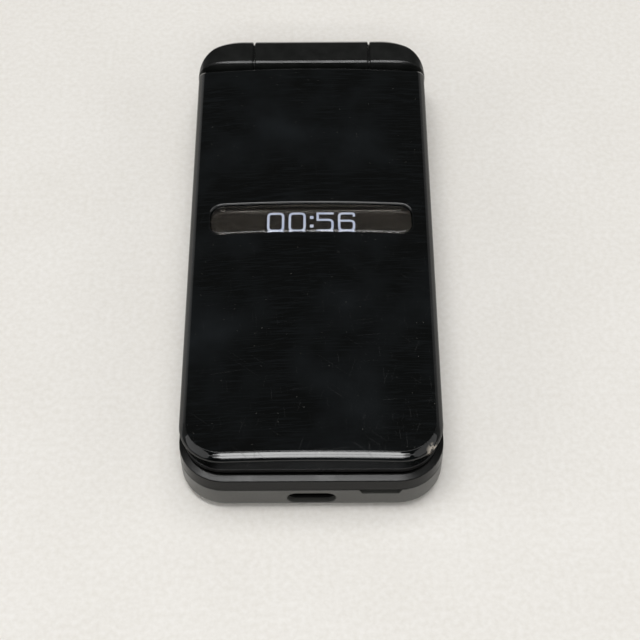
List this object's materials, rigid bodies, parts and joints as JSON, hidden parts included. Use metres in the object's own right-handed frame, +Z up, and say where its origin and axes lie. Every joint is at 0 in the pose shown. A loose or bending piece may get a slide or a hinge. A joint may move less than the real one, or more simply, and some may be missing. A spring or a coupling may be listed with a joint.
{
  "type": "flip phone",
  "caption": "Closed clamshell keypad phone with a hinged gloss black lid, a narrow outer clock window, sprung keys, a charging socket and a snap-off rear cover.",
  "frame": {"origin": "middle of the underside's box, on the table", "axes": "+X right, +Y towards the hinge, +Z up, lid closed"},
  "size_m": [0.0516, 0.114, 0.0174],
  "materials": {
    "gloss_black": "high gloss",
    "satin_black": "satin moulding",
    "satin_grey": "fine matte moulding",
    "satin_black_metal": "satin black paint on a die-cast light alloy",
    "dark_plastic": "moulded",
    "display_glass": "polished",
    "smoked_window": "smoked clear moulding",
    "steel": "plain",
    "circuit_board": "solder resist on glass laminate",
    "rubber": "matte",
    "copper_alloy": "plain",
    "battery_can": "printed film",
    "key_plastic": "satin"
  },
  "bodies": {
    "base": {"base_upper_case": "satin_black", "base_chassis": "dark_plastic", "main_board": "circuit_board", "shield_can": "steel", "dome_sheet": "steel", "key_mat": "rubber", "socket_shell": "steel", "socket_tongue": "dark_plastic", "battery_pack": "battery_can", "battery_contacts": "copper_alloy", "loudspeaker": "dark_plastic", "microphone": "steel", "vibration_motor": "steel", "hinge_shaft": "steel", "hinge_bush": "steel", "base_screws": "steel", "antenna_plate": "copper_alloy"},
    "lid": {"lid_outer_cover": "gloss_black", "sub_display_window": "smoked_window", "sub_display_panel": "dark_plastic", "lid_frame": "satin_black_metal", "lid_inner_bezel": "dark_plastic", "main_display_glass": "display_glass", "main_display_panel": "display_glass", "earpiece_receiver": "dark_plastic", "earpiece_mesh": "steel", "lid_bumpers": "rubber", "lid_magnet": "steel", "lid_circuit_board": "circuit_board", "lid_screws": "steel", "hinge_cartridge": "steel", "hinge_spring": "steel", "hinge_flex": "copper_alloy"},
    "rear_cover": {"rear_cover": "satin_grey", "cover_seal": "rubber", "speaker_mesh": "steel"},
    "motor_weight": {"motor_weight": "copper_alloy"},
    "nav_pad": {"nav_pad": "rubber"},
    "nav_ring": {"nav_ring": "key_plastic"},
    "nav_centre_key": {"nav_centre_key": "key_plastic"},
    "soft_key_a": {"soft_key_a": "key_plastic"},
    "soft_key_b": {"soft_key_b": "key_plastic"},
    "soft_key_c": {"soft_key_c": "key_plastic"},
    "soft_key_d": {"soft_key_d": "key_plastic"},
    "call_key": {"call_key": "key_plastic"},
    "clear_key": {"clear_key": "key_plastic"},
    "end_key": {"end_key": "key_plastic"},
    "key_1": {"key_1": "key_plastic"},
    "key_2": {"key_2": "key_plastic"},
    "key_3": {"key_3": "key_plastic"},
    "key_4": {"key_4": "key_plastic"},
    "key_5": {"key_5": "key_plastic"},
    "key_6": {"key_6": "key_plastic"},
    "key_7": {"key_7": "key_plastic"},
    "key_8": {"key_8": "key_plastic"},
    "key_9": {"key_9": "key_plastic"},
    "key_star": {"key_star": "key_plastic"},
    "key_0": {"key_0": "key_plastic"},
    "key_hash": {"key_hash": "key_plastic"}
  },
  "joints": [
    {"name": "lid_hinge", "type": "hinge", "parent": "base", "child": "lid", "pos_m": [0, 0.0519, 0.0117], "axis": [-1, 0, 0], "range_deg": [0, 165]},
    {"name": "rear_cover_snap", "type": "slide", "parent": "base", "child": "rear_cover", "axis": [0, 0, -1], "range_m": [0, 0.012]},
    {"name": "motor_spin", "type": "hinge", "parent": "base", "child": "motor_weight", "pos_m": [0.012, 0.03435, 0.0034], "axis": [1, 0, 0], "continuous": true},
    {"name": "nav_up_down", "type": "hinge", "parent": "base", "child": "nav_pad", "pos_m": [0, 0.02835, 0.0072], "axis": [1, 0, 0], "range_deg": [-1.7, 1.7], "stiffness_Nm_per_rad": 0.02},
    {"name": "nav_left_right", "type": "hinge", "parent": "nav_pad", "child": "nav_ring", "pos_m": [0, 0.02835, 0.0079], "axis": [0, 1, 0], "range_deg": [-1.7, 1.7], "stiffness_Nm_per_rad": 0.02},
    {"name": "nav_centre_key_press", "type": "slide", "parent": "base", "child": "nav_centre_key", "axis": [0, 0, -1], "range_m": [0, 0.0003], "stiffness_N_per_m": 150},
    {"name": "soft_key_a_press", "type": "slide", "parent": "base", "child": "soft_key_a", "axis": [0, 0, -1], "range_m": [0, 0.0003], "stiffness_N_per_m": 150},
    {"name": "soft_key_b_press", "type": "slide", "parent": "base", "child": "soft_key_b", "axis": [0, 0, -1], "range_m": [0, 0.0003], "stiffness_N_per_m": 150},
    {"name": "soft_key_c_press", "type": "slide", "parent": "base", "child": "soft_key_c", "axis": [0, 0, -1], "range_m": [0, 0.0003], "stiffness_N_per_m": 150},
    {"name": "soft_key_d_press", "type": "slide", "parent": "base", "child": "soft_key_d", "axis": [0, 0, -1], "range_m": [0, 0.0003], "stiffness_N_per_m": 150},
    {"name": "call_key_press", "type": "slide", "parent": "base", "child": "call_key", "axis": [0, 0, -1], "range_m": [0, 0.0003], "stiffness_N_per_m": 150},
    {"name": "clear_key_press", "type": "slide", "parent": "base", "child": "clear_key", "axis": [0, 0, -1], "range_m": [0, 0.0003], "stiffness_N_per_m": 150},
    {"name": "end_key_press", "type": "slide", "parent": "base", "child": "end_key", "axis": [0, 0, -1], "range_m": [0, 0.0003], "stiffness_N_per_m": 150},
    {"name": "key_1_press", "type": "slide", "parent": "base", "child": "key_1", "axis": [0, 0, -1], "range_m": [0, 0.0003], "stiffness_N_per_m": 150},
    {"name": "key_2_press", "type": "slide", "parent": "base", "child": "key_2", "axis": [0, 0, -1], "range_m": [0, 0.0003], "stiffness_N_per_m": 150},
    {"name": "key_3_press", "type": "slide", "parent": "base", "child": "key_3", "axis": [0, 0, -1], "range_m": [0, 0.0003], "stiffness_N_per_m": 150},
    {"name": "key_4_press", "type": "slide", "parent": "base", "child": "key_4", "axis": [0, 0, -1], "range_m": [0, 0.0003], "stiffness_N_per_m": 150},
    {"name": "key_5_press", "type": "slide", "parent": "base", "child": "key_5", "axis": [0, 0, -1], "range_m": [0, 0.0003], "stiffness_N_per_m": 150},
    {"name": "key_6_press", "type": "slide", "parent": "base", "child": "key_6", "axis": [0, 0, -1], "range_m": [0, 0.0003], "stiffness_N_per_m": 150},
    {"name": "key_7_press", "type": "slide", "parent": "base", "child": "key_7", "axis": [0, 0, -1], "range_m": [0, 0.0003], "stiffness_N_per_m": 150},
    {"name": "key_8_press", "type": "slide", "parent": "base", "child": "key_8", "axis": [0, 0, -1], "range_m": [0, 0.0003], "stiffness_N_per_m": 150},
    {"name": "key_9_press", "type": "slide", "parent": "base", "child": "key_9", "axis": [0, 0, -1], "range_m": [0, 0.0003], "stiffness_N_per_m": 150},
    {"name": "key_star_press", "type": "slide", "parent": "base", "child": "key_star", "axis": [0, 0, -1], "range_m": [0, 0.0003], "stiffness_N_per_m": 150},
    {"name": "key_0_press", "type": "slide", "parent": "base", "child": "key_0", "axis": [0, 0, -1], "range_m": [0, 0.0003], "stiffness_N_per_m": 150},
    {"name": "key_hash_press", "type": "slide", "parent": "base", "child": "key_hash", "axis": [0, 0, -1], "range_m": [0, 0.0003], "stiffness_N_per_m": 150}
  ]
}
